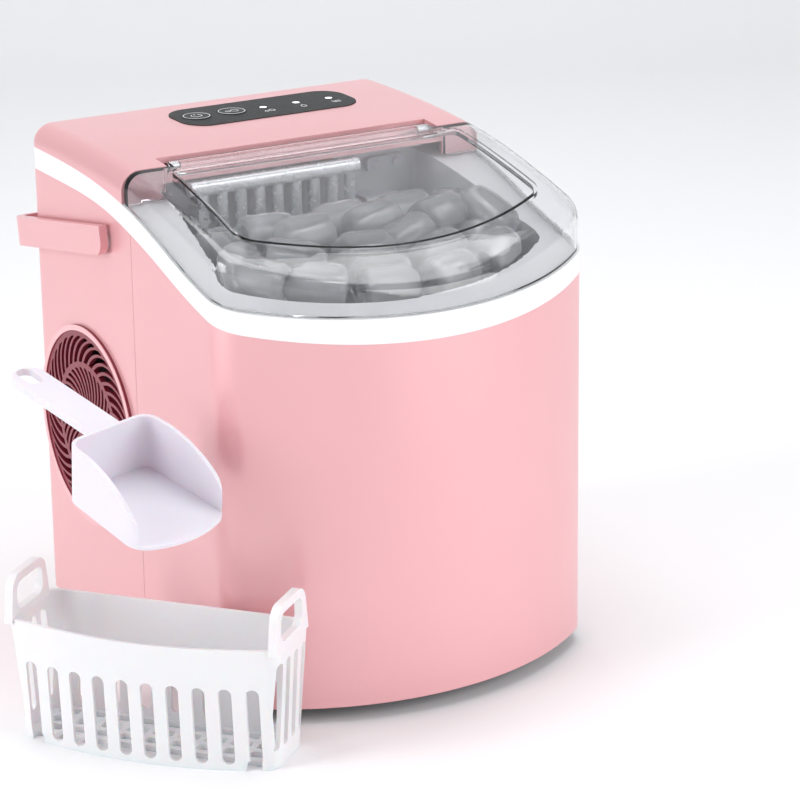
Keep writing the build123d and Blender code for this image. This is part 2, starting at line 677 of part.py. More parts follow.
handle_plane = Plane(Location((0, handle_y, handle_z), (-handle_slope, 0, 0)))
handle_outer_half = handle_inner_half + handle_thick
with BuildPart() as carry_handle:
    with BuildSketch(handle_plane.offset(-handle_height / 2)):
        with Locations((0, handle_reach / 2 - handle_height / 4)):
            outer = Rectangle(2 * handle_outer_half, handle_reach + handle_height / 2)
        fillet(outer.vertices().group_by(Axis.Y)[-1], 10)
        with BuildSketch(mode=Mode.PRIVATE) as inner:
            with Locations((0, handle_reach / 2 - handle_thick - 20)):
                gap = Rectangle(2 * handle_inner_half, handle_reach + 40)
            fillet(gap.vertices().group_by(Axis.Y)[-1], 10 - handle_thick)
        add(inner.sketch, mode=Mode.SUBTRACT)
    extrude(amount=handle_height)
    fillet(carry_handle.edges().filter_by(Axis.X).group_by(Axis.Y)[0], handle_height / 2 - 0.2)
    for side in (-1, 1):
        rod((side * (handle_inner_half - 1), handle_y, handle_z),
            (side * (handle_inner_half + 3.3), handle_y, handle_z),
            4.0 + running_gap, mode=Mode.SUBTRACT)
save(carry_handle.part, "carry_handle")

with BuildPart() as handle_pivots:
    for side in (-1, 1):
        rod((side * (width / 2 - wall), handle_y, handle_z),
            (side * (handle_inner_half + 3.0), handle_y, handle_z), 4.0)
        rod((side * (width / 2 - wall - 2), handle_y, handle_z),
            (side * (width / 2 - wall), handle_y, handle_z), 8.0)
        rod((side * width / 2, handle_y, handle_z), (side * (width / 2 + 1.4), handle_y, handle_z), 6.5)
save(handle_pivots.part, "handle_pivots")

# ================= ice basket =================

basket_plane = Plane(Location((basket_x, basket_y, 0), (0, 0, basket_turn)))


def on_basket(x, y, z, turn=(0, 0, 0)):
    """A plane given in the basket's own axes: x along it, y towards the cabinet."""
    return Plane(basket_plane.location * Location((x, y, z), turn))


def basket_outline(z, grow):
    """Plan of the basket: straight back, bowed front and round corners."""
    half = basket_length / 2 + grow
    back = basket_width / 2 + grow
    with BuildSketch(basket_plane.offset(z)) as plan:
        with BuildLine():
            right = Line((half, back), (half, -back + 12))
            bow = ThreePointArc(right @ 1, (0, -back), (-half, -back + 12))
            Polyline(bow @ 1, (-half, back), right @ 0)
        make_face()
        fillet(plan.vertices(), 9)
    return plan.sketch


with BuildPart() as basket_hollow:
    loft([basket_outline(3.0, -3.8 - basket_wall), basket_outline(basket_rim + 0.5, -basket_wall)])

with BuildPart() as ice_basket:
    loft([basket_outline(0.0, -4.0), basket_outline(basket_rim, 0.0)])
    add(basket_hollow.part, mode=Mode.SUBTRACT)
    for index in range(10):
        slot_x = (index - 4.5) * 13.4
        with BuildSketch(on_basket(slot_x, -basket_width / 2 - 8, 24, (90, 0, 0))) as slot:
            SlotCenterToCenter(35, 6.8, rotation=90)
        extrude(slot.sketch, amount=-26, mode=Mode.SUBTRACT)
    for index in range(7):
        slot_x = (index - 3) * 17.5
        with BuildSketch(on_basket(slot_x, basket_width / 2 + 8, 20, (90, 0, 0))) as slot:
            SlotCenterToCenter(20, 6.0, rotation=90)
        extrude(slot.sketch, amount=26, mode=Mode.SUBTRACT)
    for end in (-1, 1):
        for index in range(4):
            slot_face = on_basket(end * (basket_length / 2 + 8), (index - 1.5) * 10 + 3, 34, (90, 90, 0))
            with BuildSketch(slot_face) as slot:
                SlotCenterToCenter(42, 5.4, rotation=90)
            extrude(slot.sketch, amount=-14 * end, mode=Mode.SUBTRACT)
    for row in range(4):
        for column in range(9):
            with BuildSketch(on_basket((column - 4) * 14.4, (row - 1.5) * 10.4 + 1.5, -1)) as grid:
                RectangleRounded(11.4, 7.0, 1.8)
            extrude(grid.sketch, amount=6, mode=Mode.SUBTRACT)
    for end in (-1, 1):
        with BuildSketch(on_basket(end * (basket_length / 2 - 2.2), 2, basket_rim - 2,
                                   (90, 90, 0))) as loop:
            with BuildLine():
                Polyline((-22, 0), (-18, 24), (18, 24), (22, 0), (-22, 0))
            make_face()
            fillet(loop.vertices().group_by(Axis.Y)[-1], 9)
            with BuildSketch(mode=Mode.PRIVATE) as finger_gap:
                with Locations((0, 12)):
                    RectangleRounded(29, 15, 5)
            add(finger_gap.sketch, mode=Mode.SUBTRACT)
        extrude(loop.sketch, amount=2.2, both=True)
save(ice_basket.part, "ice_basket")

# ================= scoop =================

scoop_axis = Vector(0.188, -0.962, -0.199).normalized()
scoop_side = Vector(0.98, 0.171, 0.098)
scoop_plane = Plane(origin=scoop_origin, x_dir=scoop_axis, z_dir=scoop_axis.cross(scoop_side))


def on_scoop(x, y, z, turn=(0, 0, 0)):
    """A plane given in the scoop's own axes: x towards the lip, z out of the bowl."""
    return Plane(scoop_plane.location * Location((x, y, z), turn))


def scoop_plan(z, shrink, reach, lip_round):
    """Plan of the bowl: square back with round corners, sides that open a little, bowed lip."""
    half = scoop_width / 2 - shrink
    with BuildSketch(scoop_plane.offset(z)) as plan:
        with BuildLine():
            back = Line((shrink, half), (shrink, -half))
            right = Line(back @ 1, (scoop_length - 9 + reach, -half - 3))
            lip = ThreePointArc(right @ 1, (scoop_length + reach, 0), (scoop_length - 9 + reach, half + 3))
            Line(lip @ 1, back @ 0)
        make_face()
        fillet(plan.vertices().group_by(Axis.X)[0], 9 - shrink)
        if lip_round:
            fillet(plan.vertices().group_by(Axis.X)[-1], lip_round)
    return plan.sketch


with BuildPart() as ice_scoop:
    extrude(scoop_plan(0, 0, 0, 13), amount=scoop_depth)
    with BuildSketch(on_scoop(0, 0, 0, (90, 0, 0))):
        with BuildLine():
            brim = Spline((-1, scoop_depth), (26, scoop_depth - 1), (50, scoop_depth * 0.68),
                          (scoop_length - 3, 4))
            Polyline(brim @ 1, (scoop_length + 3, 2.5), (scoop_length + 3, -1), (-1, -1), brim @ 0)
        make_face()
    extrude(amount=scoop_width, both=True, mode=Mode.INTERSECT)
    extrude(scoop_plan(scoop_wall, scoop_wall, 12, 0), amount=scoop_depth + 5, mode=Mode.SUBTRACT)
    with BuildSketch(on_scoop(0, 0, scoop_depth - 5)):
        with Locations((-scoop_handle / 2 + 4.7, 0)):
            Rectangle(scoop_handle - 8.9, 18)
        with Locations((9 - scoop_handle, 0)):
            Circle(9)
            SlotOverall(17, 9, mode=Mode.SUBTRACT)
    extrude(amount=4)
save(ice_scoop.part, "ice_scoop")
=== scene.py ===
import json
import math
import random
import bmesh
import bpy
from mathutils import Matrix, Vector
from mathutils.bvhtree import BVHTree

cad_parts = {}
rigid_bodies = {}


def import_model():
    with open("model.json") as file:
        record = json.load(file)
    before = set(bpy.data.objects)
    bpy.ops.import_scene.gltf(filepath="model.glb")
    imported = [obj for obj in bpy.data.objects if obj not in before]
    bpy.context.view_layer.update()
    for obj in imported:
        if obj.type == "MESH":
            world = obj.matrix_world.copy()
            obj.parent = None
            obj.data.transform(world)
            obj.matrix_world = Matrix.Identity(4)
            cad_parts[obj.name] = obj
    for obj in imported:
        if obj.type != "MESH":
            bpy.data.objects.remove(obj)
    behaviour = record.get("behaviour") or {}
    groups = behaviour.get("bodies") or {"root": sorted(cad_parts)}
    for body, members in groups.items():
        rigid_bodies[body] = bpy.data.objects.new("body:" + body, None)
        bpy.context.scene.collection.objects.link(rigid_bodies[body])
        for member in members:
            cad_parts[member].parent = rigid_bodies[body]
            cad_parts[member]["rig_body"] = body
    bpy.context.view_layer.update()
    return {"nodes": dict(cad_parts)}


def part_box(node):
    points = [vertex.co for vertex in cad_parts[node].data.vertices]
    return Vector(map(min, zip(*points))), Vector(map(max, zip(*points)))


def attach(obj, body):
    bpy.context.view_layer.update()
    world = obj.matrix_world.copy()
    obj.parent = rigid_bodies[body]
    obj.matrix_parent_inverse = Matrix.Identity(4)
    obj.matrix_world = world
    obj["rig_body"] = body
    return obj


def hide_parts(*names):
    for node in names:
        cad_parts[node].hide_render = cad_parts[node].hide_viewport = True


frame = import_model()

# ---------------------------------------------------------------------------------------------
# The studio: a pale sweep of paper on the table, one broad soft light on each side of the
# camera and one overhead, with a dim gap between them that leaves a soft shade on the bow.
sweep = bpy.data.meshes.new("paper_sweep")
reach = 3.0
rise_at = 1.5
bend = 0.7
sweep_points = [(-rise_at * 2.0, 0.0)]
for step in range(13):
    turn = math.radians(90 * step / 12)
    sweep_points.append((rise_at + bend * math.sin(turn), bend - bend * math.cos(turn)))
sweep_points.append((rise_at + bend, 3.0))
corners = [(side * reach, run, height) for run, height in sweep_points for side in (-1, 1)]
strips = [(2 * i, 2 * i + 1, 2 * i + 3, 2 * i + 2) for i in range(len(sweep_points) - 1)]
sweep.from_pydata(corners, [], strips)
for polygon in sweep.polygons:
    polygon.use_smooth = True
paper = bpy.data.objects.new("paper_sweep", sweep)
bpy.context.scene.collection.objects.link(paper)
paper.rotation_euler = (0, 0, math.radians(-28))

paper_white = bpy.data.materials.new("paper_white")
paper_white.use_nodes = True
paper_shader = paper_white.node_tree.nodes["Principled BSDF"]
paper_shader.inputs["Base Color"].default_value = (0.91, 0.91, 0.915, 1)
paper_shader.inputs["Roughness"].default_value = 0.9
sweep.materials.append(paper_white)


def soft_light(name, place, aim, size, power):
    """One rectangular soft box that looks at a point of the machine."""
    lamp = bpy.data.lights.new(name, "AREA")
    lamp.shape = "RECTANGLE"
    lamp.size, lamp.size_y = size
    lamp.energy = power
    holder = bpy.data.objects.new(name, lamp)
    bpy.context.scene.collection.objects.link(holder)
    holder.location = place
    holder.rotation_euler = (Vector(aim) - Vector(place)).to_track_quat("-Z", "Y").to_euler()


soft_light("left_box", (-1.95, 0.10, 0.8), (0, 0, 0.15), (0.8, 1.6), 24)
soft_light("right_box", (1.0, -1.8, 0.8), (0, 0, 0.15), (1.5, 1.6), 26)
soft_light("top_box", (0.1, 0.2, 1.9), (0, 0, 0.2), (1.6, 1.6), 20)

studio_air = bpy.data.worlds.new("studio_air")
bpy.context.scene.world = studio_air
studio_air.use_nodes = True
studio_air.node_tree.nodes["Background"].inputs["Color"].default_value = (0.93, 0.95, 1.0, 1)
studio_air.node_tree.nodes["Background"].inputs["Strength"].default_value = 0.42
bpy.context.scene.view_settings.view_transform = "Standard"

view_from = Vector((-0.7929, -1.3887, 0.6430))
view_azimuth = math.radians(30.29)
view_height = math.radians(17.85)
view_roll = math.radians(-1.03)
backward = Vector((-math.sin(view_azimuth) * math.cos(view_height),
                   -math.cos(view_azimuth) * math.cos(view_height), math.sin(view_height)))
rightward = Vector((math.cos(view_azimuth), -math.sin(view_azimuth), 0))
upward = backward.cross(rightward)
rolled_right = math.cos(view_roll) * rightward + math.sin(view_roll) * upward
rolled_up = backward.cross(rolled_right)
camera = bpy.data.objects.new("camera", bpy.data.cameras.new("camera"))
bpy.context.scene.collection.objects.link(camera)
camera.matrix_world = Matrix((
    (rolled_right.x, rolled_up.x, backward.x, view_from.x),
    (rolled_right.y, rolled_up.y, backward.y, view_from.y),
    (rolled_right.z, rolled_up.z, backward.z, view_from.z),
    (0, 0, 0, 1)))
camera.data.sensor_width = 36
camera.data.lens = 138.85
camera.data.shift_x = 0.0586
camera.data.shift_y = 0.009
camera.data.clip_start = 0.05
bpy.context.scene.camera = camera


# ---------------------------------------------------------------------------------------------
# Moulded pink shell: one colour of satin ABS for the bowed front, the side and back panels, the
# top cover and the handle. Its pieces are the cabinet's own, with joined triangles.
class Maths:
    """A number inside a material that can be added to and multiplied like any Python number."""

    def __init__(self, finish, socket):
        self.finish = finish
        self.socket = socket

    def join(self, operation, first, second):
        """The result of one Math node on two numbers or sockets."""
        return self.finish.number("ShaderNodeMath", {"operation": operation}, {0: first, 1: second})

    def __add__(self, other):
        return self.join("ADD", self, other)

    def __mul__(self, other):
        return self.join("MULTIPLY", self, other)

    def __rsub__(self, other):
        return self.join("SUBTRACT", other, self)

    def __abs__(self):
        return self.join("ABSOLUTE", self, 0.0)

    def __lt__(self, other):
        return self.join("LESS_THAN", self, other)

    __radd__ = __add__
    __rmul__ = __mul__


class Finish:
    """A material under construction, built round one Principled shader."""

    def __init__(self, name, **values):
        self.material = bpy.data.materials.new(name)
        self.material.use_nodes = True
        self.tree = self.material.node_tree
        self.shader = self.tree.nodes["Principled BSDF"]
        self.place = self.node("ShaderNodeTexCoord", {}, {}).outputs["Object"]
        for socket, value in values.items():
            self.set(socket.replace("_", " "), value)

    def node(self, kind, settings, inputs):
        """Any node: its settings first, then the values or links of its sockets."""
        made = self.tree.nodes.new(kind)
        for setting, value in settings.items():
            setattr(made, setting, value)
        for socket, value in inputs.items():
            self.feed(made.inputs[socket], value)
        return made

    def number(self, kind, settings, inputs, output=0):
        """A node whose chosen output is used as a number."""
        return Maths(self, self.node(kind, settings, inputs).outputs[output])

    def feed(self, socket, value):
        """Give a socket a value, a link or the result of some maths."""
        if isinstance(value, Maths):
            value = value.socket
        if isinstance(value, bpy.types.NodeSocket):
            self.tree.links.new(value, socket)
        else:
            socket.default_value = value

    def set(self, socket, value):
        """Give one of the shader's own sockets a value or a link."""
        self.feed(self.shader.inputs[socket], value)

    def grain(self, scale, detail=2.0):
        """A soft random pattern fixed to the piece."""
        return self.number("ShaderNodeTexNoise", {},
                           {"Vector": self.place, "Scale": scale, "Detail": detail})

    def tint(self, amount, first, second):
        """A colour between two colours."""
        mix = self.node("ShaderNodeMix", {"data_type": "RGBA"}, {})
        self.feed(mix.inputs["Factor"], amount)
        self.feed(mix.inputs["A"], (*first, 1))
        self.feed(mix.inputs["B"], (*second, 1))
        return mix.outputs["Result"]

    def bump(self, height, strength, distance):
        """Raise the surface by a pattern."""
        relief = self.node("ShaderNodeBump", {},
                           {"Height": height, "Strength": strength, "Distance": distance})
        self.set("Normal", relief.outputs["Normal"])


def dress(node, material, smooth=35.0, bevel=0.0):
    """Replace a CAD node by a copy with joined triangles, smooth curves and, if asked, eased edges."""
    weld_gap = 2e-6
    flat_angle = math.radians(0.3)
    source = frame["nodes"][node]
    joined = bmesh.new()
    joined.from_mesh(source.data)
    bmesh.ops.remove_doubles(joined, verts=joined.verts, dist=weld_gap)
    bmesh.ops.dissolve_limit(joined, angle_limit=flat_angle, verts=joined.verts, edges=joined.edges)
    mesh = bpy.data.meshes.new(node + "_mesh")
    joined.to_mesh(mesh)
    joined.free()
    if "custom_normal" in mesh.attributes:
        mesh.attributes.remove(mesh.attributes["custom_normal"])
    for polygon in mesh.polygons:
        polygon.use_smooth = True
    mesh.set_sharp_from_angle(angle=math.radians(smooth))
    mesh.materials.clear()
    mesh.materials.append(material)
    piece = bpy.data.objects.new(node + "_piece", mesh)
    bpy.context.scene.collection.objects.link(piece)
    if bevel:
        ease = piece.modifiers.new("eased_edges", "BEVEL")
        ease.limit_method = "ANGLE"
        ease.angle_limit = math.radians(smooth)
        ease.width = bevel
        ease.segments = 2
        ease.harden_normals = True
    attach(piece, source["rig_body"])
    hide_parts(node)
    return piece


pink = Finish("pink_abs", Metallic=0.35, Coat_Weight=0.25, Coat_Roughness=0.18, IOR=1.5)
pink_cloud = pink.grain(9.0, 3.0)
pink.set("Base Color", pink.tint(pink_cloud, (0.80, 0.42, 0.44), (0.84, 0.46, 0.475)))
pink.set("Roughness", pink.grain(60.0) * 0.10 + 0.27)
pink.bump(pink.grain(1400.0), 0.05, 0.0002)

for shell in ("front_shell", "left_side_panel", "right_side_panel", "back_panel"):
    dress(shell, pink.material)
for shell in ("top_cover", "carry_handle"):
    dress(shell, pink.material)

# ---------------------------------------------------------------------------------------------
# Vents: round grilles of the same pink ABS, snapped into the side panels. The colour turns to
# deep red 0.4 mm below the face of the raised ring, on the ribs as well as in the slots: painted shade
# that stands for the shade inside the slots.
vent_pink_painted_shade = Finish("vent_pink_painted_shade", Coat_Weight=0.25, Coat_Roughness=0.18, IOR=1.5)
vent_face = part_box("left_vent")[0][0]
vent_shade_depth = 0.0004
vent_sides = vent_pink_painted_shade.node("ShaderNodeSeparateXYZ", {}, {"Vector": vent_pink_painted_shade.place})
vent_depth = abs(Maths(vent_pink_painted_shade, vent_sides.outputs["X"]))
# Mask for the painted shade: deep red wherever the surface lies more than 0.4 mm below the ring's face.
vent_painted_shade_mask = vent_depth < abs(vent_face) - vent_shade_depth
vent_pink_painted_shade.set("Base Color", vent_pink_painted_shade.tint(vent_painted_shade_mask, (0.82, 0.46, 0.48), (0.22, 0.018, 0.035)))
vent_pink_painted_shade.set("Roughness", vent_pink_painted_shade.grain(60.0) * 0.10 + 0.32)
vent_pink_painted_shade.bump(vent_pink_painted_shade.grain(1400.0), 0.05, 0.0002)
for grille in ("left_vent", "right_vent"):
    dress(grille, vent_pink_painted_shade.material)

# ---------------------------------------------------------------------------------------------
# White rim band and ice bin: glossy white ABS. The band caps the pink shell all round, and the
# bin hangs inside it, with its shoulder showing under the lid.
white = Finish("white_gloss_abs", Coat_Weight=0.5, Coat_Roughness=0.05, IOR=1.5)
white.set("Base Color", white.tint(white.grain(14.0), (0.86, 0.865, 0.885), (0.90, 0.90, 0.915)))
white.set("Roughness", white.grain(80.0) * 0.08 + 0.16)
white.bump(white.grain(1200.0), 0.03, 0.0002)
dress("rim_band", white.material)
dress("ice_bin", white.material)

# ---------------------------------------------------------------------------------------------
# Lid: one clear moulding of acrylic with a raised window and a round hinge barrel at the back.
clear = Finish("clear_acrylic", Transmission_Weight=1.0, IOR=1.47)
clear.set("Base Color", (0.985, 0.99, 1.0, 1))
clear.set("Roughness", clear.grain(30.0) * 0.03 + 0.012)
dress("lid", clear.material)

# ---------------------------------------------------------------------------------------------
# Freezing works: nickel-plated fingers on their bar, the white tray that tilts under them, the
# shovel, the brackets and the small motor housing, all fixed to the back wall of the bin.
nickel = Finish("nickel_plate", Metallic=0.45)
nickel.set("Base Color", nickel.tint(nickel.grain(90.0), (0.86, 0.87, 0.89), (0.94, 0.95, 0.97)))
nickel.set("Roughness", nickel.grain(220.0) * 0.2 + 0.16)
dress("evaporator", nickel.material)

milky = Finish("milky_plastic", IOR=1.46, Subsurface_Weight=0.25, Subsurface_Scale=0.004)
milky.set("Base Color", milky.tint(milky.grain(18.0), (0.80, 0.80, 0.86), (0.86, 0.86, 0.90)))
milky.set("Roughness", milky.grain(120.0) * 0.12 + 0.3)
milky.bump(milky.grain(900.0), 0.06, 0.0002)
for part_name in ("water_tray", "ice_shovel", "tray_brackets", "tray_motor", "ice_level_sensor"):
    dress(part_name, milky.material)

# ---------------------------------------------------------------------------------------------
# Ice: hollow bullets, each frozen round one finger, in the top of the bin. Only the top layers are
# made, on a made-up floor. Overlapping bullets are pushed apart for a fixed number of rounds.
bullet_radius = 0.0122
bullet_reach = 0.0085
heap_count = 50
rear_limit = -0.0045
well_half_rear = 0.077
well_taper = 0.191
well_bow_radius = 0.1352
well_bow_centre = 0.0272
well_rear = 0.0315
wall_margin = 0.0026
shovel_clear_y = -0.040
front_floor = 0.176
rear_floor = 0.206
settle_rounds = 260
fall_step = 0.00035
near_squared = 0.0018
turn_by_push = 900
turn_by_wall = 60
ceiling_break_y = -0.03
ceiling_start_y = 0.075
front_ceiling = 0.2375
ceiling_slope = 0.28
rear_ceiling = 0.246


def clear_ice():
    """Refracting ice, partly milky, with a slightly uneven surface."""
    ice = Finish("clear_ice", Transmission_Weight=0.72, IOR=1.31)
    ice.set("Base Color", ice.tint(ice.grain(160.0), (0.93, 0.95, 0.97), (1.0, 1.0, 1.0)))
    ice.set("Roughness", ice.grain(240.0) * 0.12)
    ice.bump(ice.grain(180.0, 3.0), 0.35, 0.001)
    return ice.material


def bullet_mesh():
    """One bullet: a round-ended barrel with the finger's hole in its flat end."""
    outer = [(0.0, 0.0168), (0.0050, 0.0162), (0.0088, 0.0140), (0.0110, 0.0105), (0.0120, 0.0060),
             (0.0122, -0.0100), (0.0116, -0.0138), (0.0098, -0.0156), (0.0070, -0.0160)]
    bore = [(0.0048, -0.0146), (0.0043, -0.0100), (0.0036, 0.0040), (0.0022, 0.0074), (0.0, 0.0084)]
    profile = outer + bore
    sides = 20
    shape = bmesh.new()
    rings = []
    for radius, height in profile:
        if radius == 0.0:
            rings.append([shape.verts.new((0, 0, height))])
        else:
            turns = [math.tau * i / sides for i in range(sides)]
            places = [(radius * math.cos(a), radius * math.sin(a), height) for a in turns]
            rings.append([shape.verts.new(place) for place in places])
    for upper, lower in zip(rings, rings[1:]):
        for i in range(sides):
            j = (i + 1) % sides
            if len(upper) == 1:
                shape.faces.new((upper[0], lower[i], lower[j]))
            elif len(lower) == 1:
                shape.faces.new((upper[i], lower[0], upper[j]))
            else:
                shape.faces.new((upper[i], lower[i], lower[j], upper[j]))
    bmesh.ops.recalc_face_normals(shape, faces=shape.faces)
    mesh = bpy.data.meshes.new("bullet")
    shape.to_mesh(mesh)
    shape.free()
    for polygon in mesh.polygons:
        polygon.use_smooth = True
    return mesh


def heap_floor(y):
    """Height of the made-up floor under the top layers: higher at the back, clear of the shovel."""
    return front_floor if y < shovel_clear_y else rear_floor


def closest_between(p, u, q, v, half):
    """The nearest points of two short core lines, as distances along each."""
    w = p - q
    b = u.dot(v)
    d = u.dot(w)
    e = v.dot(w)
    spread = 1 - b * b
    s = 0.0 if spread < 1e-4 else (b * e - d) / spread
    s = max(-half, min(half, s))
    t = max(-half, min(half, e + b * s))
    s = max(-half, min(half, b * t - d))
    return s, t


def settle_heap():
    """Places and directions of the bullets after they have been pushed apart."""
    chance = random.Random(11)
    places, ways = [], []
    while len(places) < heap_count:
        x = chance.uniform(-0.075, 0.075)
        y = chance.uniform(-0.086, -0.018)
        z = chance.uniform(0.19, 0.245)
        places.append(Vector((x, y, z)))
        ways.append(Vector((chance.gauss(0, 1), chance.gauss(0, 1), chance.gauss(0, 0.7))).normalized())
    for _ in range(settle_rounds):
        for i in range(heap_count):
            places[i].z -= fall_step
        for i in range(heap_count):
            for j in range(i + 1, heap_count):
                gap = places[i] - places[j]
                if gap.length_squared > near_squared:
                    continue
                s, t = closest_between(places[i], ways[i], places[j], ways[j], bullet_reach)
                apart = (places[i] + ways[i] * s) - (places[j] + ways[j] * t)
                distance = max(apart.length, 1e-5)
                push = 2 * bullet_radius - distance
                if push <= 0:
                    continue
                shove = apart / distance * push * 0.5
                places[i] += shove
                places[j] -= shove
                ways[i] = (ways[i] + shove * s * turn_by_push).normalized()
                ways[j] = (ways[j] - shove * t * turn_by_push).normalized()
        for i in range(heap_count):
            for end in (-1, 1):
                tip = places[i] + ways[i] * bullet_reach * end
                side = well_half_rear + (well_rear - tip.y) * well_taper - bullet_radius - wall_margin
                move = Vector((0, 0, 0))
                if abs(tip.x) > side:
                    move.x = math.copysign(side, tip.x) - tip.x
                if tip.y > rear_limit - bullet_radius:
                    move.y = rear_limit - bullet_radius - tip.y
                bow = Vector((tip.x, tip.y - well_bow_centre))
                bow_limit = well_bow_radius - bullet_radius - wall_margin
                if bow.length > bow_limit:
                    fix = bow.normalized() * bow_limit - bow
                    move.x += fix.x
                    move.y += fix.y
                low = heap_floor(tip.y) + bullet_radius
                if tip.z < low:
                    move.z = low - tip.z
                high = rear_ceiling - bullet_radius
                if tip.y < ceiling_break_y:
                    high = front_ceiling + ceiling_slope * (tip.y + ceiling_start_y) - bullet_radius
                if tip.z > high:
                    move.z = high - tip.z
                places[i] += move * 0.5
                ways[i] = (ways[i] + move * end * turn_by_wall).normalized()
    return places, ways


heap_places, heap_ways = settle_heap()
heap_seed = bpy.data.meshes.new("ice_bullets")
heap_seed.from_pydata([tuple(place) for place in heap_places], [], [])
heap_turn = heap_seed.attributes.new("turn", "FLOAT_VECTOR", "POINT")
for index, way in enumerate(heap_ways):
    heap_turn.data[index].vector = way.to_track_quat("Z", "Y").to_euler()
ice_bullets = bpy.data.objects.new("ice_bullets", heap_seed)
bpy.context.scene.collection.objects.link(ice_bullets)
bullet_master = bpy.data.objects.new("bullet_master", bullet_mesh())
bpy.context.scene.collection.objects.link(bullet_master)


class Build:
    """A Geometry Nodes tree with named inputs, made from one mesh and ending in one mesh."""

    def __init__(self, name):
        self.tree = bpy.data.node_groups.new(name, "GeometryNodeTree")
        self.tree.interface.new_socket("Geometry", in_out="INPUT", socket_type="NodeSocketGeometry")
        self.tree.interface.new_socket("Geometry", in_out="OUTPUT", socket_type="NodeSocketGeometry")
        self.start = self.tree.nodes.new("NodeGroupInput")
        self.end = self.tree.nodes.new("NodeGroupOutput")

    def input(self, name, kind):
        """Add a named input and return its identifier."""
        return self.tree.interface.new_socket(name, in_out="INPUT", socket_type=kind).identifier

    def node(self, kind, settings, inputs):
        """Any node: its settings first, then the values or links of its sockets."""
        made = self.tree.nodes.new(kind)
        for setting, value in settings.items():
            setattr(made, setting, value)
        for socket, value in inputs.items():
            if isinstance(value, bpy.types.NodeSocket):
                self.tree.links.new(value, made.inputs[socket])
            else:
                made.inputs[socket].default_value = value
        return made

    def finish(self, instances, material):
        """Realize the instances, give them their material and close the tree."""
        real = self.node("GeometryNodeRealizeInstances", {}, {"Geometry": instances})
        coated = self.node("GeometryNodeSetMaterial", {},
                           {"Geometry": real.outputs[0], "Material": material})
        self.tree.links.new(coated.outputs[0], self.end.inputs[0])

    def bake(self, piece, values):
        """Run the tree on a piece, keep the result as its plain mesh and drop the modifier."""
        modifier = piece.modifiers.new("build", "NODES")
        modifier.node_group = self.tree
        for identifier, value in values.items():
            modifier[identifier] = value
        depsgraph = bpy.context.evaluated_depsgraph_get()
        solid = bpy.data.meshes.new_from_object(piece.evaluated_get(depsgraph), depsgraph=depsgraph)
        piece.modifiers.clear()
        piece.data = solid
        return piece


heap = Build("ice_heap")
heap_unit = heap.input("Bullet", "NodeSocketObject")
heap_size = heap.input("Size", "NodeSocketFloat")
unit_info = heap.node("GeometryNodeObjectInfo", {}, {"Object": heap.start.outputs["Bullet"]})
turn_value = heap.node("GeometryNodeInputNamedAttribute", {"data_type": "FLOAT_VECTOR"}, {"Name": "turn"})
turn_made = heap.node("FunctionNodeEulerToRotation", {}, {"Euler": turn_value.outputs["Attribute"]})
scatter = heap.node("GeometryNodeInstanceOnPoints", {}, {
    "Points": heap.start.outputs["Geometry"], "Instance": unit_info.outputs["Geometry"],
    "Rotation": turn_made.outputs[0], "Scale": heap.start.outputs["Size"]})
heap.finish(scatter.outputs[0], clear_ice())
heap.bake(ice_bullets, {heap_unit: bullet_master, heap_size: 1.0})
bpy.data.objects.remove(bullet_master)
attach(ice_bullets, "base_body")

# ---------------------------------------------------------------------------------------------
# Control panel: a black satin plate with two round touch buttons, each with a printed ring and
# sign, and three white lamps with a small sign under each.
panel_black = Finish("panel_black", Specular_IOR_Level=0.25)
panel_black.set("Base Color",
                panel_black.tint(panel_black.grain(40.0), (0.018, 0.020, 0.020), (0.026, 0.028, 0.028)))
panel_black.set("Roughness", panel_black.grain(300.0) * 0.15 + 0.42)
panel_black.bump(panel_black.grain(2500.0), 0.05, 0.0001)
panel_piece = dress("control_panel", panel_black.material)
button_pieces = {name: dress(name, panel_black.material) for name in ("button_power", "button_select")}

lamp_white = Finish("lamp_white", Emission_Strength=1.2)
lamp_white.set("Base Color", (0.9, 0.9, 0.9, 1))
lamp_white.set("Emission Color",
               lamp_white.tint(lamp_white.grain(400.0), (0.9, 0.95, 1.0), (1.0, 1.0, 1.0)))
dress("indicator_lights", lamp_white.material)

ink = Finish("white_ink")
ink.set("Base Color", ink.tint(ink.grain(900.0), (0.80, 0.81, 0.81), (0.90, 0.91, 0.91)))
ink.set("Roughness", 0.5)
ink_width = 0.00022
ink_flatness = 0.4


def arc(radius, start, end, centre=(0, 0), steps=28):
    """Points of a round stroke, in millimetres from the sign's middle."""
    turns = [math.radians(start + (end - start) * i / steps) for i in range(steps + 1)]
    return [(centre[0] + radius * math.cos(a), centre[1] + radius * math.sin(a)) for a in turns]


def printed_sign(name, strokes, middle, surface, body):
    """Thin raised ink strokes laid on a surface from above."""
    curve = bpy.data.curves.new(name, "CURVE")
    curve.dimensions = "3D"
    curve.bevel_depth = ink_width
    curve.bevel_resolution = 1
    for stroke in strokes:
        line = curve.splines.new("POLY")
        line.points.add(len(stroke) - 1)
        for point, (x, y) in zip(line.points, stroke):
            point.co = (middle[0] + x / 1000, middle[1] + y / 1000, 0, 1)
    drawn = bpy.data.objects.new(name + "_line", curve)
    bpy.context.scene.collection.objects.link(drawn)
    depsgraph = bpy.context.evaluated_depsgraph_get()
    mesh = bpy.data.meshes.new_from_object(drawn.evaluated_get(depsgraph), depsgraph=depsgraph)
    bpy.data.objects.remove(drawn)
    ground = BVHTree.FromObject(surface, depsgraph)
    for vertex in mesh.vertices:
        hit = ground.ray_cast(Vector((vertex.co.x, vertex.co.y, 0.3)), Vector((0, 0, -1)))[0]
        vertex.co.z = hit.z + vertex.co.z * ink_flatness
    mesh.materials.clear()
    mesh.materials.append(ink.material)
    sign = bpy.data.objects.new(name, mesh)
    bpy.context.scene.collection.objects.link(sign)
    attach(sign, body)


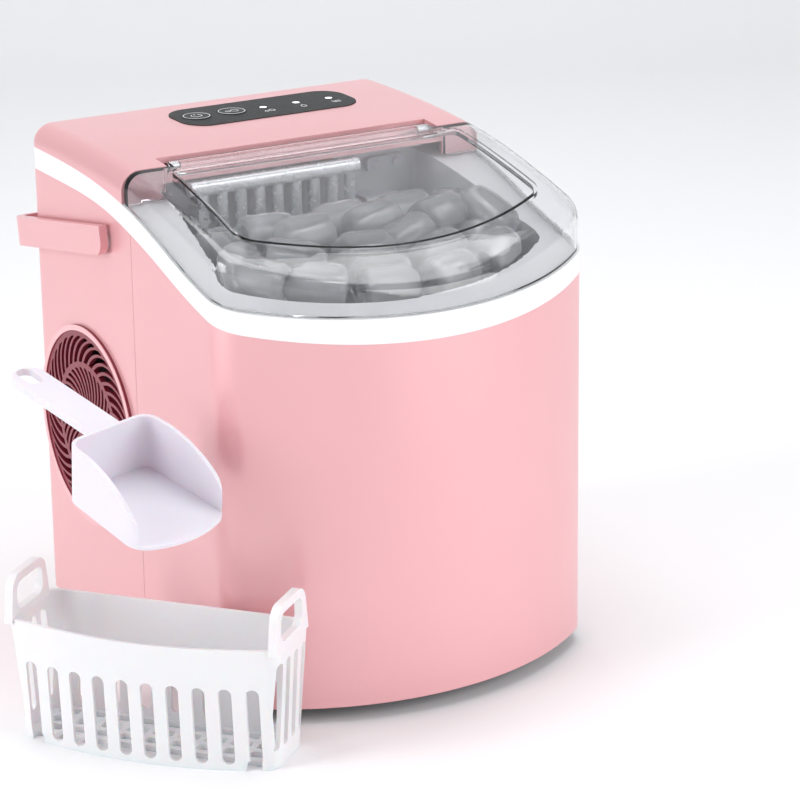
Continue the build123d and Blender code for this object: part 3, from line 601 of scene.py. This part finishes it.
power_strokes = [arc(7.4, 0, 360, steps=48), arc(3.0, 125, 415), [(0, 1.2), (0, 4.0)]]
select_strokes = [arc(7.4, 0, 360, steps=48), arc(1.3, 0, 360, (-2.6, -0.4)), arc(2.2, 0, 360, (1.7, 0))]
for name, strokes in (("button_power", power_strokes), ("button_select", select_strokes)):
    low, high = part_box(name)
    middle = ((low[0] + high[0]) / 2, (low[1] + high[1]) / 2)
    printed_sign(name + "_sign", strokes, middle, button_pieces[name], name)

lamp_low, lamp_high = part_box("indicator_lights")
lamp_radius = 0.00205
sign_drop = 0.0085
lamp_middles = [lamp_low[0] + lamp_radius, (lamp_low[0] + lamp_high[0]) / 2, lamp_high[0] - lamp_radius]
sign_y = (lamp_low[1] + lamp_high[1]) / 2 - sign_drop
size_strokes = [arc(1.0, 0, 360, (-2.6, -0.6), 16), arc(1.7, 0, 360, (1.0, 0), 20)]
drop_strokes = [arc(1.6, -215, 35, (0, -0.5), 20) + [(0, 2.6)] + arc(1.6, -215, -214, (0, -0.5), 1)]
full_strokes = [[(-2.2, 1.6), (-2.2, -1.8), (2.2, -1.8), (2.2, 1.6)],
                [(-1.2, 0.6), (1.2, 0.6)], [(-1.2, -0.6), (1.2, -0.6)]]
for name, strokes, x in zip(("size_sign", "add_water_sign", "ice_full_sign"),
                            (size_strokes, drop_strokes, full_strokes), lamp_middles):
    printed_sign(name, strokes, (x, sign_y), panel_piece, "base_body")

# ---------------------------------------------------------------------------------------------
# Loose basket and scoop: thin milky polypropylene, moulded in one piece each.
milk = Finish("milk_white_plastic", IOR=1.47, Subsurface_Weight=0.3, Subsurface_Scale=0.006)
milk.set("Base Color", milk.tint(milk.grain(12.0), (0.76, 0.765, 0.78), (0.81, 0.815, 0.825)))
milk.set("Roughness", milk.grain(140.0) * 0.12 + 0.30)
milk.bump(milk.grain(700.0), 0.05, 0.0003)
dress("ice_basket", milk.material)
lilac = Finish("lilac_white_plastic", IOR=1.47, Subsurface_Weight=0.3, Subsurface_Scale=0.006)
lilac.set("Base Color", lilac.tint(lilac.grain(12.0), (0.70, 0.69, 0.76), (0.75, 0.74, 0.80)))
lilac.set("Roughness", lilac.grain(140.0) * 0.12 + 0.28)
lilac.bump(lilac.grain(700.0), 0.05, 0.0003)
dress("ice_scoop", lilac.material)

# ---------------------------------------------------------------------------------------------
# Base, feet and rubber: a grey pan under the cabinet, black rubber feet, gland, plug and mounts.
pan_grey = Finish("pan_grey")
pan_grey.set("Base Color", pan_grey.tint(pan_grey.grain(30.0), (0.10, 0.10, 0.105), (0.14, 0.14, 0.145)))
pan_grey.set("Roughness", pan_grey.grain(200.0) * 0.2 + 0.45)
for part_name in ("base_tray", "water_pump"):
    dress(part_name, pan_grey.material)
rubber = Finish("black_rubber")
rubber.set("Base Color", rubber.tint(rubber.grain(120.0), (0.012, 0.012, 0.012), (0.028, 0.028, 0.028)))
rubber.set("Roughness", rubber.grain(400.0) * 0.2 + 0.6)
rubber.bump(rubber.grain(1800.0), 0.15, 0.0003)
for part_name in ("feet", "cord_gland", "drain_plug", "compressor_mounts"):
    dress(part_name, rubber.material)
steel = Finish("bright_steel", Metallic=1.0)
steel.set("Base Color", steel.tint(steel.grain(200.0), (0.55, 0.55, 0.56), (0.72, 0.72, 0.73)))
steel.set("Roughness", steel.grain(500.0) * 0.2 + 0.22)
for part_name in ("back_screws", "lid_hinge_pins", "handle_pivots"):
    dress(part_name, steel.material)

# ---------------------------------------------------------------------------------------------
# Cooling works inside the cabinet: compressor, condenser, fan, valve, copper pipes and boards.
fins = Finish("fin_aluminium", Metallic=1.0)
fins.set("Base Color", fins.tint(fins.grain(80.0), (0.62, 0.63, 0.65), (0.78, 0.79, 0.80)))
fins.set("Roughness", fins.grain(300.0) * 0.25 + 0.3)
dress("condenser", fins.material)
can_black = Finish("can_black", Coat_Weight=0.3)
can_black.set("Base Color",
              can_black.tint(can_black.grain(50.0), (0.012, 0.012, 0.014), (0.03, 0.03, 0.033)))
can_black.set("Roughness", can_black.grain(260.0) * 0.2 + 0.3)
for part_name in ("compressor", "fan_frame", "fan_rotor", "fan_motor"):
    dress(part_name, can_black.material)
copper = Finish("copper", Metallic=1.0)
copper.set("Base Color", copper.tint(copper.grain(150.0), (0.72, 0.33, 0.20), (0.85, 0.47, 0.32)))
copper.set("Roughness", copper.grain(300.0) * 0.25 + 0.2)
for part_name in ("refrigerant_pipes", "filter_drier"):
    dress(part_name, copper.material)
brass = Finish("brass", Metallic=1.0)
brass.set("Base Color", brass.tint(brass.grain(150.0), (0.68, 0.50, 0.20), (0.82, 0.64, 0.32)))
brass.set("Roughness", brass.grain(300.0) * 0.25 + 0.25)
dress("hot_gas_valve", brass.material)
board = Finish("circuit_board")
board.set("Base Color", board.tint(board.grain(160.0), (0.02, 0.11, 0.05), (0.05, 0.20, 0.09)))
board.set("Roughness", board.grain(300.0) * 0.2 + 0.35)
for part_name in ("control_board", "power_board"):
    dress(part_name, board.material)
hose = Finish("silicone_hose", Transmission_Weight=0.4, IOR=1.41)
hose.set("Base Color", hose.tint(hose.grain(100.0), (0.75, 0.75, 0.74), (0.85, 0.85, 0.84)))
hose.set("Roughness", hose.grain(300.0) * 0.2 + 0.35)
for part_name in ("water_hoses", "drain_hose"):
    dress(part_name, hose.material)
foam = Finish("foam")
foam_cells = foam.number("ShaderNodeTexVoronoi", {}, {"Vector": foam.place, "Scale": 700.0})
foam.set("Base Color", foam.tint(foam_cells, (0.80, 0.77, 0.68), (0.90, 0.88, 0.80)))
foam.set("Roughness", 0.9)
foam.bump(foam_cells, 0.4, 0.0005)
dress("bin_insulation", foam.material)
